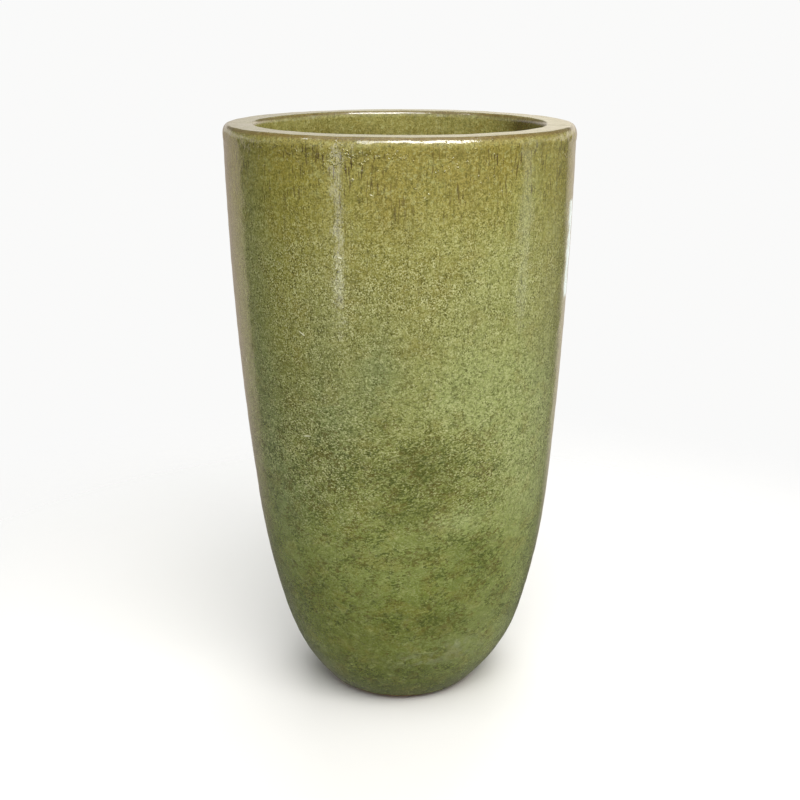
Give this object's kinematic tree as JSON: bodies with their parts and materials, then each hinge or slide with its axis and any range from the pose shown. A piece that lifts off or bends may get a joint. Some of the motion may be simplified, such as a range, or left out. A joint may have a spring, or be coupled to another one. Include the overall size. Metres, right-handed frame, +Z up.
{
  "type": "planter pot",
  "caption": "Tall bullet-shaped garden planter of fired clay under a mottled green glaze, with a thick flat rim, a narrow flat foot and a drain hole.",
  "frame": {"origin": "middle of the foot, on the ground plane that the pot stands on", "axes": "+Z up along the pot's axis, from the foot to the rim; X and Y are any two directions across the round pot"},
  "size_m": [0.45, 0.45, 0.775],
  "materials": {
    "terracotta": "matte",
    "outer_glaze": "gloss",
    "rim_glaze": "gloss",
    "inner_glaze": "gloss"
  },
  "bodies": {
    "root": {"clay_body": "terracotta", "outer_glaze": "outer_glaze", "rim_glaze": "rim_glaze", "inner_glaze": "inner_glaze"}
  },
  "joints": []
}
